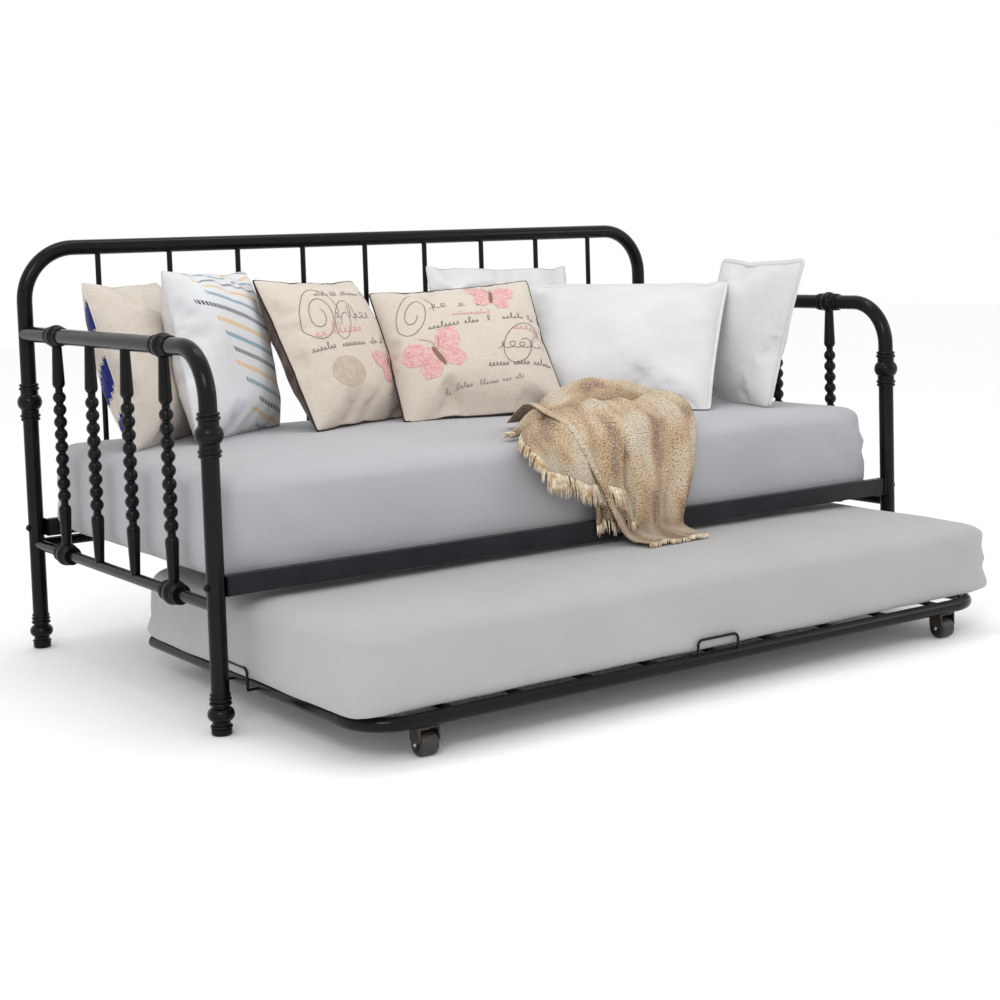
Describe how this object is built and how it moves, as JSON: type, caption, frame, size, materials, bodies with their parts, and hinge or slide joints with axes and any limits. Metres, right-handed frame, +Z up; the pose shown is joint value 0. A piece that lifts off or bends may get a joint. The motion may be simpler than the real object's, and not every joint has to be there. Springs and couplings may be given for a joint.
{
  "type": "trundle bed",
  "caption": "Metal daybed with turned spindles and a wheeled pull-out trundle, dressed with mattresses, pillows and a throw.",
  "frame": {"origin": "middle of the whole bed's box with the trundle partly pulled out, at floor level", "axes": "+X along the bed's length, +Y towards the back panel, +Z up"},
  "size_m": [2.01, 1.468, 1.013],
  "materials": {
    "frame_paint": "satin",
    "rail_paint": "satin",
    "zinc": "satin",
    "caster_plate": "satin",
    "wheel_black": "satin",
    "mattress_grey": "matte",
    "trundle_mattress_grey": "matte",
    "navy_print": "matte",
    "striped_cotton": "matte",
    "printed_linen": "matte",
    "white_cotton": "matte",
    "throw_weave": "matte"
  },
  "bodies": {
    "daybed": {"back_bow": "frame_paint", "back_lower_rail": "frame_paint", "back_spindle_1": "frame_paint", "back_spindle_2": "frame_paint", "back_spindle_3": "frame_paint", "back_spindle_4": "frame_paint", "back_spindle_5": "frame_paint", "back_spindle_6": "frame_paint", "back_spindle_7": "frame_paint", "back_spindle_8": "frame_paint", "back_spindle_9": "frame_paint", "left_arm": "frame_paint", "right_arm": "frame_paint", "left_lower_rail": "frame_paint", "right_lower_rail": "frame_paint", "collar_back_left": "frame_paint", "collar_back_right": "frame_paint", "collar_front_left": "frame_paint", "collar_front_right": "frame_paint", "foot_back_left": "frame_paint", "foot_back_right": "frame_paint", "foot_front_left": "frame_paint", "foot_front_right": "frame_paint", "left_bobbin_1": "frame_paint", "left_bobbin_2": "frame_paint", "left_bobbin_3": "frame_paint", "left_bobbin_4": "frame_paint", "right_bobbin_1": "frame_paint", "right_bobbin_2": "frame_paint", "right_bobbin_3": "frame_paint", "right_bobbin_4": "frame_paint", "left_knuckles": "frame_paint", "right_knuckles": "frame_paint", "front_rail": "rail_paint", "back_deck_rail": "rail_paint", "deck_slats": "frame_paint", "slat_screws": "zinc", "rail_brackets": "frame_paint", "frame_bolts": "frame_paint", "upper_mattress": "mattress_grey", "cushion_navy": "navy_print", "cushion_striped": "striped_cotton", "cushion_script": "printed_linen", "cushion_butterfly": "printed_linen", "pillow_back": "white_cotton", "pillow_large": "white_cotton", "pillow_right": "white_cotton", "throw": "throw_weave"},
    "trundle": {"trundle_frame": "frame_paint", "trundle_rear_tube": "frame_paint", "trundle_slats": "frame_paint", "mattress_hoops": "frame_paint", "trundle_mattress": "trundle_mattress_grey", "caster_brackets": "caster_plate", "caster_axles": "zinc"},
    "wheel_front_left": {"wheel_front_left": "wheel_black"},
    "wheel_front_right": {"wheel_front_right": "wheel_black"},
    "wheel_back_left": {"wheel_back_left": "wheel_black"},
    "wheel_back_right": {"wheel_back_right": "wheel_black"}
  },
  "joints": [
    {"name": "trundle_slide", "type": "slide", "parent": "daybed", "child": "trundle", "axis": [0, -1, 0], "range_m": [-0.42, 0.62]},
    {"name": "wheel_front_left_roll", "type": "hinge", "parent": "trundle", "child": "wheel_front_left", "pos_m": [-0.735, -0.704, 0.024], "axis": [1, 0, 0], "continuous": true},
    {"name": "wheel_front_right_roll", "type": "hinge", "parent": "trundle", "child": "wheel_front_right", "pos_m": [0.735, -0.704, 0.024], "axis": [1, 0, 0], "continuous": true},
    {"name": "wheel_back_left_roll", "type": "hinge", "parent": "trundle", "child": "wheel_back_left", "pos_m": [-0.735, 0.231, 0.024], "axis": [1, 0, 0], "continuous": true},
    {"name": "wheel_back_right_roll", "type": "hinge", "parent": "trundle", "child": "wheel_back_right", "pos_m": [0.735, 0.231, 0.024], "axis": [1, 0, 0], "continuous": true}
  ]
}
